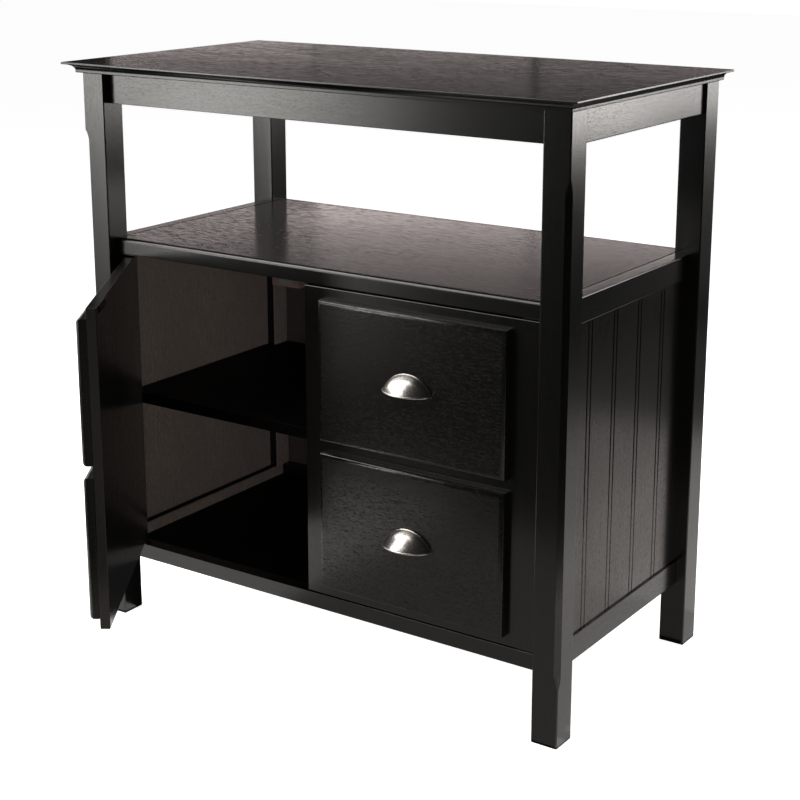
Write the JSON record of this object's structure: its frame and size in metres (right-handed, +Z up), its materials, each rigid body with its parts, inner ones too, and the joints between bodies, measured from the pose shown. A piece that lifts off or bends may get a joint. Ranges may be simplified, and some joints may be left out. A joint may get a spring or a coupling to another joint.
{
  "type": "buffet cabinet",
  "caption": "Free-standing buffet cabinet on square legs, with a moulded top, an open shelf and a cupboard below it whose doors carry false drawer fronts with cup pulls.",
  "frame": {"origin": "on the floor, midway between the four legs' feet", "axes": "+X to the right along the front, +Y from the front to the back, +Z up"},
  "size_m": [0.906, 0.7327, 0.914],
  "materials": {
    "black_lacquer": "black stain under semi-gloss lacquer",
    "inside_lacquer": "black stain under satin lacquer",
    "nickel": "satin nickel plate",
    "steel": "zinc plated",
    "catch_case": "moulded brown plastic",
    "beech": "bare beech"
  },
  "bodies": {
    "cabinet": {"top_panel": "black_lacquer", "leg_front_left": "black_lacquer", "leg_front_right": "black_lacquer", "leg_rear_left": "black_lacquer", "leg_rear_right": "black_lacquer", "apron_front": "black_lacquer", "apron_rear": "black_lacquer", "apron_left": "black_lacquer", "apron_right": "black_lacquer", "top_cleats": "inside_lacquer", "top_screws": "steel", "shelf_rail_front": "black_lacquer", "shelf_rail_rear": "black_lacquer", "shelf_rail_left": "black_lacquer", "shelf_rail_right": "black_lacquer", "open_shelf": "black_lacquer", "base_rail_front": "black_lacquer", "base_rail_rear": "black_lacquer", "base_rail_left": "black_lacquer", "base_rail_right": "black_lacquer", "cupboard_floor": "inside_lacquer", "floor_cleats": "inside_lacquer", "side_panel_left": "black_lacquer", "side_panel_right": "black_lacquer", "back_panel": "inside_lacquer", "back_screws": "steel", "inner_shelf": "inside_lacquer", "shelf_pins": "steel", "left_pivot_pins": "steel", "right_pivot_pins": "steel", "leaf_screws": "steel", "catch_block": "inside_lacquer", "catch_cases": "catch_case", "catch_magnets": "steel", "catch_screws": "steel"},
    "left_door": {"left_door_slab": "black_lacquer", "left_upper_front": "black_lacquer", "left_lower_front": "black_lacquer", "left_upper_pull": "nickel", "left_lower_pull": "nickel", "left_dowels": "beech", "left_pull_screws": "steel", "left_pivot_plates": "steel", "left_strike": "steel"},
    "right_door": {"right_door_slab": "black_lacquer", "right_upper_front": "black_lacquer", "right_lower_front": "black_lacquer", "right_upper_pull": "nickel", "right_lower_pull": "nickel", "right_dowels": "beech", "right_pull_screws": "steel", "right_pivot_plates": "steel", "right_strike": "steel"}
  },
  "joints": [
    {"name": "left_door_hinge", "type": "hinge", "parent": "cabinet", "child": "left_door", "pos_m": [-0.37, -0.2015, 0.3685], "axis": [0, 0, -1], "range_deg": [-55.8, 39.2]},
    {"name": "right_door_hinge", "type": "hinge", "parent": "cabinet", "child": "right_door", "pos_m": [0.37, -0.2015, 0.3685], "axis": [0, 0, 1], "range_deg": [0, 95]}
  ]
}
